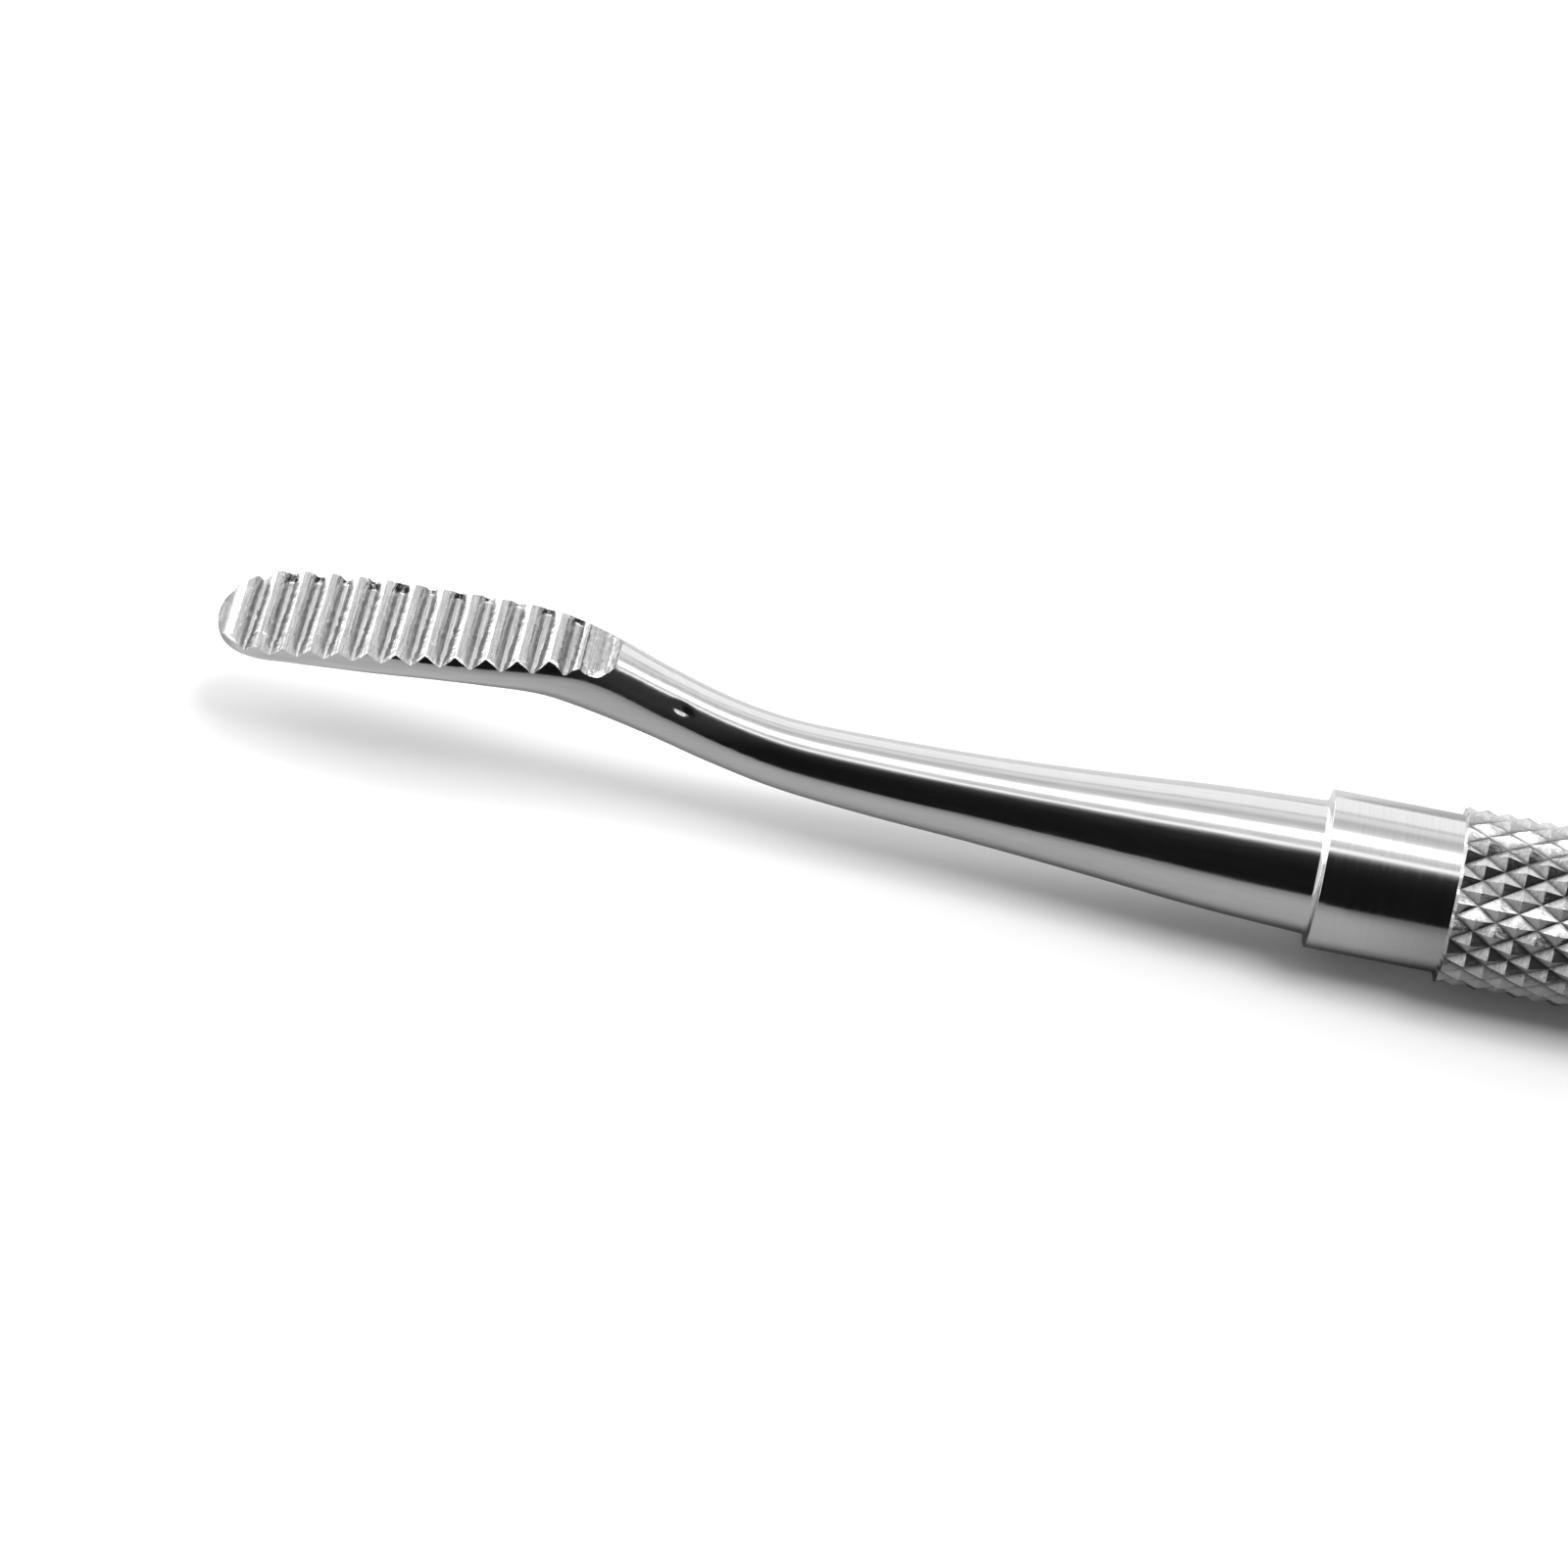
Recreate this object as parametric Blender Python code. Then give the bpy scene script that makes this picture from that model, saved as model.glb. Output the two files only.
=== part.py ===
"""Double-ended bone file, one piece of stainless steel, 180 mm long.

A turned grip with a diamond knurl sits between two plain collars. From each collar a round
shank tapers, bends to one side and is forged flat into a round-nosed blade. Coarse straight
teeth are filed across the blade's face. The two ends are alike and face opposite ways.

Each working end is modelled in its own frame: +X runs outward from the collar's shoulder,
along the grip's axis, and +Z is the side that the teeth face.
"""

import math

import bmesh
import bpy
from mathutils import Vector

MM = 0.001

OVERALL_LENGTH = 180.0 * MM
WORKING_END_REACH = 49.6 * MM

COLLAR_DIAMETER = 7.1 * MM
COLLAR_LENGTH = 5.95 * MM
COLLAR_CHAMFER = 0.06 * MM

KNURL_DIAMETER = 8.0 * MM
KNURL_DEPTH = 0.29 * MM
KNURL_POINTS_ROUND = 20
KNURL_POINTS_ALONG = 38
KNURL_END_BEVEL = 0.12 * MM
KNURL_LENGTH = OVERALL_LENGTH - 2 * (WORKING_END_REACH + COLLAR_LENGTH)

SHANK_SIDES = 28
SHOULDER_FILLET = 0.3 * MM
FILLET_STEPS = 3
SHANK_ROOT_IN_COLLAR = 0.8 * MM
SHANK_RING_SPACING = 1.6 * MM
SLOPE_STEP = 0.2 * MM

# The loft of a working end: distance from the shoulder, height of the widest level above
# the grip's axis, half width, rise to the back of the uncut bar, drop to the underside, and
# how square the section is above and below the widest level (2 is round).
LOFT_STATIONS = (
    (0.3, 0.00, 3.00, 3.00, 3.00, 2.0, 2.0),
    (5.0, 0.00, 2.74, 2.74, 2.74, 2.0, 2.0),
    (10.0, 0.03, 2.33, 2.33, 2.33, 2.0, 2.0),
    (15.0, 0.10, 1.98, 1.98, 1.98, 2.0, 2.0),
    (20.0, 0.24, 1.76, 1.76, 1.76, 2.0, 2.0),
    (24.0, 0.56, 1.59, 1.59, 1.59, 2.0, 2.0),
    (27.0, 1.31, 1.52, 1.52, 1.52, 2.0, 2.0),
    (30.0, 2.47, 1.57, 1.57, 1.57, 2.0, 2.0),
    (33.0, 3.71, 1.70, 1.68, 1.85, 2.1, 2.1),
    (35.0, 4.30, 1.95, 1.50, 1.85, 2.0, 2.15),
    (37.5, 4.12, 2.17, 1.55, 1.45, 2.0, 2.2),
    (40.0, 3.85, 2.28, 1.40, 1.22, 2.3, 2.3),
    (42.5, 3.53, 2.34, 1.42, 1.08, 2.9, 2.4),
    (45.0, 3.24, 2.38, 1.48, 0.90, 3.0, 2.5),
    (46.6, 3.02, 2.38, 1.30, 0.78, 3.0, 2.5),
    (49.6, 2.30, 2.38, 0.80, 0.48, 3.0, 2.2),
)

# The nose is a slightly squared half ellipse in plan, and its underside thins towards the rim.
NOSE_LENGTH = 3.0 * MM
NOSE_SQUARE = 2.25
NOSE_RINGS = 6
NOSE_LAST_ANGLE = math.radians(80)
NOSE_RIM_THICKNESS = 0.5

# The crests lie on a gently bowed line that falls from the heel of the blade to its nose.
CREST_START = 34.5 * MM
CREST_START_HEIGHT = 5.33 * MM
CREST_START_SLOPE = math.radians(5.5)
CREST_BOW_RADIUS = 135.0 * MM

TOOTH_CRESTS = 13
NOSE_CREST = 48.69 * MM
NOSE_PITCH = 1.17 * MM
PITCH_GROWTH = 0.0195 * MM
CREST_LAND = 0.08 * MM
NOSE_LAND_DROP = 0.45 * MM
NOSE_FLANK_LENGTH = 0.45 * MM
GROOVE_DEPTH = 0.57 * MM

# A groove from one crest to the next one inward: where its bottom lies, how much of each
# side is flank before the flat floor, and each flank's lean at the crest and its roundness.
GROOVE_BOTTOM_SHARE = 0.575
GROOVE_FLANK_SHARE = 0.90
BACK_FLANK_LEAN = 0.08
BACK_FLANK_ROUNDNESS = 3.2
CUTTING_FLANK_LEAN = 0.42
CUTTING_FLANK_ROUNDNESS = 5.0
GROOVE_STEPS = (0.28, 0.42, 0.52, 0.62, 0.80)

LAST_CREST_DROP = 0.40 * MM
RUN_OUT_LENGTH = 1.5 * MM
RUN_OUT_DEPTH = 0.25 * MM
RUN_OUT_RISE = 0.15 * MM
RUN_OUT_STEPS = (0.25, 0.5, 0.75, 1.0)
CUTTER_HALF_WIDTH = 4.0 * MM
CUTTER_TOP = 8.0 * MM
CUTTER_PAST_NOSE = 1.5 * MM

STEEL_COLOUR = (0.70, 0.70, 0.70, 1.0)
STEEL_ROUGHNESS = 0.15
GRIP_SHARP_ANGLE = math.radians(12)
BLADE_SHARP_ANGLE = math.radians(34)


def clear_scene():
    for item in list(bpy.data.objects):
        bpy.data.objects.remove(item, do_unlink=True)


def steel_material():
    material = bpy.data.materials.new("stainless_steel")
    material.use_nodes = True
    shader = material.node_tree.nodes["Principled BSDF"]
    shader.inputs["Base Color"].default_value = STEEL_COLOUR
    shader.inputs["Metallic"].default_value = 1.0
    shader.inputs["Roughness"].default_value = STEEL_ROUGHNESS
    return material


def mesh_object(name, build, sharp_angle, material=None):
    """Make an object from a function that fills a bmesh."""
    shape = bmesh.new()
    build(shape)
    bmesh.ops.recalc_face_normals(shape, faces=shape.faces)
    mesh = bpy.data.meshes.new(name)
    shape.to_mesh(mesh)
    shape.free()
    mesh.shade_smooth()
    mesh.set_sharp_from_angle(angle=sharp_angle)
    if material:
        mesh.materials.append(material)
    item = bpy.data.objects.new(name, mesh)
    bpy.context.scene.collection.objects.link(item)
    return item


def bridge(shape, first, second):
    """Join two rings of the same count with a band of quads."""
    count = len(first)
    for index in range(count):
        following = (index + 1) % count
        shape.faces.new((first[index], first[following], second[following], second[index]))


def round_ring(shape, x, radius, count):
    ring = []
    for index in range(count):
        angle = 2 * math.pi * index / count
        ring.append(shape.verts.new((x, radius * math.cos(angle), radius * math.sin(angle))))
    return ring


def knurl_ring(shape, x, row):
    """One row of the knurl: valley points and diamond points by turns."""
    count = 2 * KNURL_POINTS_ROUND
    ring = []
    for index in range(count):
        is_point = (index + row) % 2 == 1
        radius = KNURL_DIAMETER / 2 - (0.0 if is_point else KNURL_DEPTH)
        angle = 2 * math.pi * index / count
        ring.append(shape.verts.new((x, radius * math.cos(angle), radius * math.sin(angle))))
    return ring


def bridge_knurl(shape, first, second, row):
    """Join two knurl rows with triangles that meet along the crossing grooves."""
    count = len(first)
    for index in range(count):
        following = (index + 1) % count
        near, near_next = first[index], first[following]
        far, far_next = second[index], second[following]
        if (index + row) % 2 == 0:
            shape.faces.new((near, near_next, far_next))
            shape.faces.new((near, far_next, far))
        else:
            shape.faces.new((near, near_next, far))
            shape.faces.new((near_next, far_next, far))


def build_grip(shape):
    """The turned bar between the shoulders: collar, knurl, collar."""
    count = 2 * KNURL_POINTS_ROUND
    rows = 2 * KNURL_POINTS_ALONG
    collar_radius = COLLAR_DIAMETER / 2
    knurl_end = KNURL_LENGTH / 2
    shoulder = knurl_end + COLLAR_LENGTH

    left_collar = [
        round_ring(shape, -shoulder, collar_radius - COLLAR_CHAMFER, count),
        round_ring(shape, -shoulder + COLLAR_CHAMFER, collar_radius, count),
        round_ring(shape, -knurl_end - KNURL_END_BEVEL, collar_radius, count),
    ]
    knurl = []
    for row in range(rows + 1):
        knurl.append(knurl_ring(shape, -knurl_end + KNURL_LENGTH * row / rows, row))
    right_collar = [
        round_ring(shape, knurl_end + KNURL_END_BEVEL, collar_radius, count),
        round_ring(shape, shoulder - COLLAR_CHAMFER, collar_radius, count),
        round_ring(shape, shoulder, collar_radius - COLLAR_CHAMFER, count),
    ]

    for first, second in zip(left_collar, left_collar[1:]):
        bridge(shape, first, second)
    bridge(shape, left_collar[-1], knurl[0])
    for row in range(rows):
        bridge_knurl(shape, knurl[row], knurl[row + 1], row)
    bridge(shape, knurl[-1], right_collar[0])
    for first, second in zip(right_collar, right_collar[1:]):
        bridge(shape, first, second)
    shape.faces.new(left_collar[0])
    shape.faces.new(right_collar[-1])


def loft_section(distance):
    """Read the loft at a distance in metres, by a smooth curve through its stations."""
    along = distance / MM
    stations = LOFT_STATIONS
    last = len(stations) - 2
    index = 0
    while index < last and along > stations[index + 1][0]:
        index += 1
    before = stations[max(index - 1, 0)]
    start = stations[index]
    end = stations[index + 1]
    after = stations[min(index + 2, len(stations) - 1)]
    span = end[0] - start[0]
    t = min(max((along - start[0]) / span, 0.0), 1.0)
    values = []
    for column in range(1, len(start)):
        slope_start = (end[column] - before[column]) / (end[0] - before[0]) * span
        slope_end = (after[column] - start[column]) / (after[0] - start[0]) * span
        values.append(
            (2 * t ** 3 - 3 * t ** 2 + 1) * start[column]
            + (t ** 3 - 2 * t ** 2 + t) * slope_start
            + (3 * t ** 2 - 2 * t ** 3) * end[column]
            + (t ** 3 - t ** 2) * slope_end
        )
    return values


def loft_slope(distance):
    rise = loft_section(distance + SLOPE_STEP)[0] - loft_section(distance - SLOPE_STEP)[0]
    return math.atan2(rise * MM, 2 * SLOPE_STEP)


def section_ring(shape, distance, width_scale=1.0, thickness_scale=1.0):
    """One section of the working end, square to the line that the bar follows."""
    height, half_width, rise, drop, top_square, base_square = loft_section(distance)
    slope = loft_slope(distance)
    ring = []
    for index in range(SHANK_SIDES):
        angle = 2 * math.pi * (index + 0.5) / SHANK_SIDES
        square = top_square if math.sin(angle) > 0 else base_square
        tall = rise if math.sin(angle) > 0 else drop
        side = math.copysign(abs(math.cos(angle)) ** (2 / square), math.cos(angle))
        lift = math.copysign(abs(math.sin(angle)) ** (2 / square), math.sin(angle))
        y = half_width * width_scale * side * MM
        offset = tall * thickness_scale * lift * MM
        x = distance - offset * math.sin(slope)
        z = height * MM + offset * math.cos(slope)
        ring.append(shape.verts.new((x, y, z)))
    return ring


def build_working_end(shape):
    """Shoulder fillet, tapering shank, bend and blade, before the teeth are cut."""
    first_radius = LOFT_STATIONS[0][2] * MM
    flare_radius = first_radius + SHOULDER_FILLET
    rings = [round_ring(shape, -SHANK_ROOT_IN_COLLAR, flare_radius, SHANK_SIDES)]
    for step in range(FILLET_STEPS):
        angle = math.pi / 2 * step / FILLET_STEPS
        x = SHOULDER_FILLET * (1 - math.cos(angle))
        radius = flare_radius - SHOULDER_FILLET * math.sin(angle)
        rings.append(round_ring(shape, x, radius, SHANK_SIDES))
    turn = math.pi / SHANK_SIDES
    for ring in rings:
        for vertex in ring:
            y, z = vertex.co.y, vertex.co.z
            vertex.co.y = y * math.cos(turn) - z * math.sin(turn)
            vertex.co.z = y * math.sin(turn) + z * math.cos(turn)

    nose_start = WORKING_END_REACH - NOSE_LENGTH
    count = round((nose_start - SHOULDER_FILLET) / SHANK_RING_SPACING)
    for step in range(count + 1):
        distance = SHOULDER_FILLET + (nose_start - SHOULDER_FILLET) * step / count
        rings.append(section_ring(shape, distance))
    for step in range(1, NOSE_RINGS + 1):
        angle = NOSE_LAST_ANGLE * step / NOSE_RINGS
        thickness = NOSE_RIM_THICKNESS + (1 - NOSE_RIM_THICKNESS) * math.cos(angle)
        width = (1 - math.sin(angle) ** NOSE_SQUARE) ** (1 / NOSE_SQUARE)
        distance = nose_start + NOSE_LENGTH * math.sin(angle)
        rings.append(section_ring(shape, distance, width, thickness))

    for first, second in zip(rings, rings[1:]):
        bridge(shape, first, second)
    shape.faces.new(rings[0])
    tip_height = loft_section(WORKING_END_REACH)[0] * MM
    tip = shape.verts.new((WORKING_END_REACH, 0.0, tip_height))
    last = rings[-1]
    for index in range(SHANK_SIDES):
        shape.faces.new((last[index], last[(index + 1) % SHANK_SIDES], tip))


def crest_height(distance):
    """Height of the line of crests at a distance from the shoulder."""
    past_start = distance - CREST_START
    fall = past_start * math.tan(CREST_START_SLOPE) + past_start ** 2 / (2 * CREST_BOW_RADIUS)
    return CREST_START_HEIGHT - fall


def crest_distance(index):
    """Distance of a crest from the shoulder; crest 0 is next to the nose."""
    steps = index * NOSE_PITCH + index * (index - 1) / 2 * PITCH_GROWTH
    return NOSE_CREST - steps


def groove_depth_share(step):
    """How deep a groove is, part of the way from one crest to the next one inward."""
    if step < GROOVE_BOTTOM_SHARE:
        run = step / GROOVE_BOTTOM_SHARE
        lean = BACK_FLANK_LEAN
        roundness = BACK_FLANK_ROUNDNESS
    else:
        run = (1 - step) / (1 - GROOVE_BOTTOM_SHARE)
        lean = CUTTING_FLANK_LEAN
        roundness = CUTTING_FLANK_ROUNDNESS
    run = min(run / GROOVE_FLANK_SHARE, 1.0)
    return lean * run + (1 - lean) * run ** roundness


def tooth_profile():
    """The line that the teeth are cut to, from past the nose to the run-out on the shank."""
    past_nose = WORKING_END_REACH + CUTTER_PAST_NOSE
    nose_foot = NOSE_CREST + NOSE_FLANK_LENGTH
    line = [
        Vector((past_nose, 0.0, crest_height(past_nose) - NOSE_LAND_DROP)),
        Vector((nose_foot, 0.0, crest_height(nose_foot) - NOSE_LAND_DROP)),
    ]
    for index in range(TOOTH_CRESTS):
        crest = crest_distance(index)
        drop = LAST_CREST_DROP if index == TOOTH_CRESTS - 1 else 0.0
        for edge in (crest + CREST_LAND / 2, crest - CREST_LAND / 2):
            line.append(Vector((edge, 0.0, crest_height(edge) - drop)))
        if index == TOOTH_CRESTS - 1:
            break
        following = crest_distance(index + 1)
        next_drop = LAST_CREST_DROP if index == TOOTH_CRESTS - 2 else 0.0
        for step in GROOVE_STEPS:
            distance = crest - CREST_LAND / 2 + (following - crest + CREST_LAND) * step
            sink = GROOVE_DEPTH * groove_depth_share(step) + next_drop * step ** 3
            line.append(Vector((distance, 0.0, crest_height(distance) - sink)))
    last = line[-1]
    for step in RUN_OUT_STEPS:
        height = last.z - RUN_OUT_DEPTH * math.sin(math.pi * step) + RUN_OUT_RISE * step
        line.append(Vector((last.x - RUN_OUT_LENGTH * step, 0.0, height)))
    return line


def build_tooth_cutter(shape):
    """A rack as wide as the blade needs, with the teeth on its lower side."""
    line = tooth_profile()
    outline = line + [
        Vector((line[-1].x, 0.0, CUTTER_TOP)),
        Vector((line[0].x, 0.0, CUTTER_TOP)),
    ]
    sides = []
    for y in (-CUTTER_HALF_WIDTH, CUTTER_HALF_WIDTH):
        sides.append([shape.verts.new((point.x, y, point.z)) for point in outline])
    bridge(shape, sides[0], sides[1])
    shape.faces.new(sides[0])
    shape.faces.new(sides[1])


def as_guide(item):
    """A cutter or an added solid: it shapes another object and isn't a part itself."""
    item.hide_render = True
    item.display_type = "WIRE"


def boolean(item, other, operation):
    modifier = item.modifiers.new(other.name, "BOOLEAN")
    modifier.operation = operation
    modifier.object = other
    modifier.solver = "EXACT"


def place_end(name, mesh, x, rotation, holder):
    item = bpy.data.objects.new(name, mesh)
    bpy.context.scene.collection.objects.link(item)
    item.location = (x, 0.0, 0.0)
    item.rotation_euler = rotation
    item.parent = holder
    as_guide(item)
    return item


def rest_pose():
    """Tilt and lift that lay the file on a table, on the knurl and the far blade's teeth."""
    row = KNURL_LENGTH / (2 * KNURL_POINTS_ALONG)
    knurl_x = -KNURL_LENGTH / 2 + row
    knurl_z = -KNURL_DIAMETER / 2
    touching = crest_distance(TOOTH_CRESTS - 2) - CREST_LAND / 2
    blade_x = KNURL_LENGTH / 2 + COLLAR_LENGTH + touching
    blade_z = -crest_height(touching)
    tilt = math.atan2(blade_z - knurl_z, blade_x - knurl_x)
    lift = knurl_x * math.sin(tilt) - knurl_z * math.cos(tilt)
    return tilt, lift


def main():
    clear_scene()
    steel = steel_material()

    holder = bpy.data.objects.new("rest_pose", None)
    bpy.context.scene.collection.objects.link(holder)
    tilt, lift = rest_pose()
    holder.rotation_euler = (0.0, tilt, 0.0)
    holder.location = (0.0, 0.0, lift)

    grip = mesh_object("bone_file", build_grip, GRIP_SHARP_ANGLE, steel)
    grip.parent = holder

    shoulder = KNURL_LENGTH / 2 + COLLAR_LENGTH
    near_end = mesh_object("near_end", build_working_end, BLADE_SHARP_ANGLE, steel)
    near_end.location = (-shoulder, 0.0, 0.0)
    near_end.rotation_euler = (0.0, 0.0, math.pi)
    near_end.parent = holder
    as_guide(near_end)
    far_end = place_end("far_end", near_end.data, shoulder, (math.pi, 0.0, 0.0), holder)

    near_cutter = mesh_object("near_tooth_cutter", build_tooth_cutter, BLADE_SHARP_ANGLE)
    near_cutter.location = near_end.location
    near_cutter.rotation_euler = near_end.rotation_euler
    near_cutter.parent = holder
    as_guide(near_cutter)
    far_cutter = place_end(
        "far_tooth_cutter", near_cutter.data, shoulder, (math.pi, 0.0, 0.0), holder)

    boolean(near_end, near_cutter, "DIFFERENCE")
    boolean(far_end, far_cutter, "DIFFERENCE")
    boolean(grip, near_end, "UNION")
    boolean(grip, far_end, "UNION")


main()
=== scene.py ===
"""The finish of a double-ended stainless bone file: fine meshes, steel, floor, light, camera.

Lengths are in millimetres until a mesh is made. Each working end has its own frame: x runs
outward from the collar's shoulder, y points to the side that the camera sees, here called the
near side, and z points to the side that the teeth face.
"""

import math
import random

import bmesh
import bpy
from mathutils import Euler, Matrix, Vector, noise


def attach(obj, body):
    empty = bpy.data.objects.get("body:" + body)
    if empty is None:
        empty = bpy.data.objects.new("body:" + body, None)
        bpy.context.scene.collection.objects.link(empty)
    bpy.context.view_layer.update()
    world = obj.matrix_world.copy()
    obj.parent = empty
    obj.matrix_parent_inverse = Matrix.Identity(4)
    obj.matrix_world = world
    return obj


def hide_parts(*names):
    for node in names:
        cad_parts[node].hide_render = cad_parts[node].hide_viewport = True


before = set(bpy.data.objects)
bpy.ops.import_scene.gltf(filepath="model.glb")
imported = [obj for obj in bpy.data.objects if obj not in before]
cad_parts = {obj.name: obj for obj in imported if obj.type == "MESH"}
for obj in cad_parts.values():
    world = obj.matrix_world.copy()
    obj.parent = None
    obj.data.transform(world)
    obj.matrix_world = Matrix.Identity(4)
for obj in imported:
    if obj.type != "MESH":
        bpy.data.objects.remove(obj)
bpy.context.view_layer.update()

MM = 0.001
NODE = "bone_file"

# Driving dimensions of the file
OVERALL_LENGTH = 180.0
WORKING_END_REACH = 49.6
COLLAR_DIAMETER = 7.1
COLLAR_LENGTH = 5.95
COLLAR_CHAMFER = 0.06
KNURL_DIAMETER = 8.0
KNURL_DEPTH = 0.36
KNURL_POINTS_ROUND = 20
KNURL_POINTS_ALONG = 38
KNURL_END_BEVEL = 0.12
KNURL_LENGTH = OVERALL_LENGTH - 2 * (WORKING_END_REACH + COLLAR_LENGTH)
SHOULDER = KNURL_LENGTH / 2 + COLLAR_LENGTH

SHOULDER_FILLET = 0.3
SHANK_ROOT_IN_COLLAR = 0.8
SLOPE_STEP = 0.2

# The loft of a working end: distance from the shoulder, height of the widest level above
# the grip's axis, half width, rise to the back of the uncut bar, drop to the underside, and
# how square the section is above and below the widest level (2 is round).
LOFT_STATIONS = (
    (0.3, 0.00, 3.00, 3.00, 3.00, 2.0, 2.0),
    (5.0, 0.00, 2.74, 2.74, 2.74, 2.0, 2.0),
    (10.0, 0.03, 2.33, 2.33, 2.33, 2.0, 2.0),
    (15.0, 0.10, 1.98, 1.98, 1.98, 2.0, 2.0),
    (20.0, 0.24, 1.76, 1.76, 1.76, 2.0, 2.0),
    (24.0, 0.56, 1.59, 1.59, 1.59, 2.0, 2.0),
    (27.0, 1.31, 1.52, 1.52, 1.52, 2.0, 2.0),
    (30.0, 2.47, 1.57, 1.57, 1.57, 2.0, 2.0),
    (33.0, 3.71, 1.70, 1.68, 1.85, 2.1, 2.1),
    (35.0, 4.30, 1.95, 1.50, 1.85, 2.0, 2.15),
    (37.5, 4.12, 2.17, 1.55, 1.45, 2.0, 2.2),
    (40.0, 3.85, 2.28, 1.40, 1.22, 2.3, 2.3),
    (42.5, 3.53, 2.34, 1.42, 1.08, 2.9, 2.4),
    (45.0, 3.24, 2.38, 1.48, 0.90, 3.0, 2.5),
    (46.6, 3.02, 2.38, 1.30, 0.78, 3.0, 2.5),
    (49.6, 2.30, 2.38, 0.80, 0.48, 3.0, 2.2),
)
NOSE_LENGTH = 3.0
NOSE_SQUARE = 2.25
NOSE_EDGE_LOSS = 0.035
NOSE_RIM_THICKNESS = 0.5

# The line that the crests follow, bowed from the shank to the nose
CREST_START = 34.5
CREST_START_HEIGHT = 5.33
CREST_START_SLOPE = math.radians(5.5)
CREST_BOW_RADIUS = 135.0

# The crests, counted from the nose
TOOTH_CRESTS = 13
NOSE_CREST = 48.69
NOSE_PITCH = 1.17
PITCH_GROWTH = 0.0195
CREST_LAND = 0.08
LAST_CREST_DROP = 0.40
NOSE_LAND_DROP = 0.45
NOSE_LAND_SLOPE = math.radians(1)
NOSE_FLANK_LENGTH = 0.55
NOSE_FLANK_POWER = 0.65

# The grooves between them. The spare keeps the cut surface just inside the solid. The bottom
# lies at a share of the pitch, nearer the nose at the near side, and is reached at a share of
# each flank. A flank is straight for one share and rounded over by a power for the rest.
GROOVE_DEPTH = 0.57
GROOVE_SPARE = 0.004
GROOVE_BOTTOM = 0.56
GROOVE_BOTTOM_SKEW = 0.035
GROOVE_SKEW_REACH = 2.5
GROOVE_FLOOR_START = 0.80
SHANK_FACING_FLANK = (0.08, 3.2)
TIP_FACING_FLANK = (0.42, 4)

# Over these distances from the middle the grooves straighten, get shallower and reach their
# bottoms later
NEAR_SIDE = (0.7, 2.4)
NEAR_STRAIGHTENING = 0.95
NEAR_SHALLOWING = 0.33
NEAR_FLOOR_DELAY = 0.14

# Unevenness of the cut: how deep it is, and its grain, which is its size along x and along
# the groove and the place of the noise. For crests and bottoms x is the number of the tooth.
# Chatter fades in past the bottom and out before the following crest, in shares of the pitch.
CREST_WOBBLE = 0.03
CREST_GRAIN = (1 / 3, 0.30, 2.0)
BOTTOM_WOBBLE = 0.02
BOTTOM_GRAIN = (1 / 5, 0.35, 3.0)
SCORE_DEPTH = 0.006
NEAR_SCORE_DEPTH = 0.008
SCORE_GRAIN = (0.10, 1.4, 5.0)
CHATTER_DEPTH = 0.022
CHATTER_GRAIN = (0.30, 0.13, 9.0)
CHATTER_FADE_IN = (0.05, 0.16)
CHATTER_FADE_OUT = (0.84, 0.97)
NEAR_GRIT_DEPTH = 0.008
NEAR_GRIT_GRAIN = (0.14, 0.20, 7.0)
NOSE_GRIT_DEPTH = 0.010
NOSE_GRIT_GRAIN = (0.12, 0.3, 6.0)

# Burrs at the far ends of the grooves, and a slight bevel at their near ends, which grows over
# these teeth from the nose and fades out at these shares of the pitch
BURR_HEIGHTS = (0.12, 0.28, 0.20, 0.12, 0.32, 0.36, 0.12, 0.22, 0.10, 0.08, 0.20, 0.20)
BURR_REACH = 0.12
BURR_REACH_PER_HEIGHT = 0.6
BURR_POWER = 1.2
BURR_UNEVENNESS = 0.6
BURR_GRAIN = (0.12, 0.2, 4.0)
BEVEL_SLOPE = 0.22
BEVEL_WIDTH = 0.10
BEVEL_TEETH = (3, 7)
BEVEL_FADE_OUT = (0.5, 0.6)

# The scoop in which the last cut runs out on the shank
RUN_OUT_LENGTH = 1.5
RUN_OUT_DEPTH = 0.18
RUN_OUT_NEAR_DEPTH = 0.22
RUN_OUT_NEAR_SIDE = (0.9, 2.0)
RUN_OUT_RISE = -0.04
RUN_OUT_SCORE_DEPTH = 0.026
RUN_OUT_SCORE_GRAIN = (0.13, 1.2, 5.0)
RUN_OUT_GRIT_DEPTH = 0.024
RUN_OUT_GRIT_GRAIN = (0.15, 0.25, 8.0)

# The block that cuts the teeth
CUTTER_TOP = 8.0
CUTTER_PAST_NOSE = 1.5
CUTTER_HALF_WIDTH = 2.7

# The small nick in the near shank
NICK_PLACE = (28.78, 0.99, 3.25)
NICK_HALF_LENGTH = 0.50
NICK_HALF_WIDTH = 0.26
NICK_DEPTH = 0.14

# The knurl's form, in shares of a quarter diamond and of the knurl's depth
KNURL_GROOVE_WIDTH = 0.06
KNURL_BLUNT_START = 0.90
KNURL_BLUNT_RISE = 0.3
KNURL_UNEVENNESS = 0.10

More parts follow.
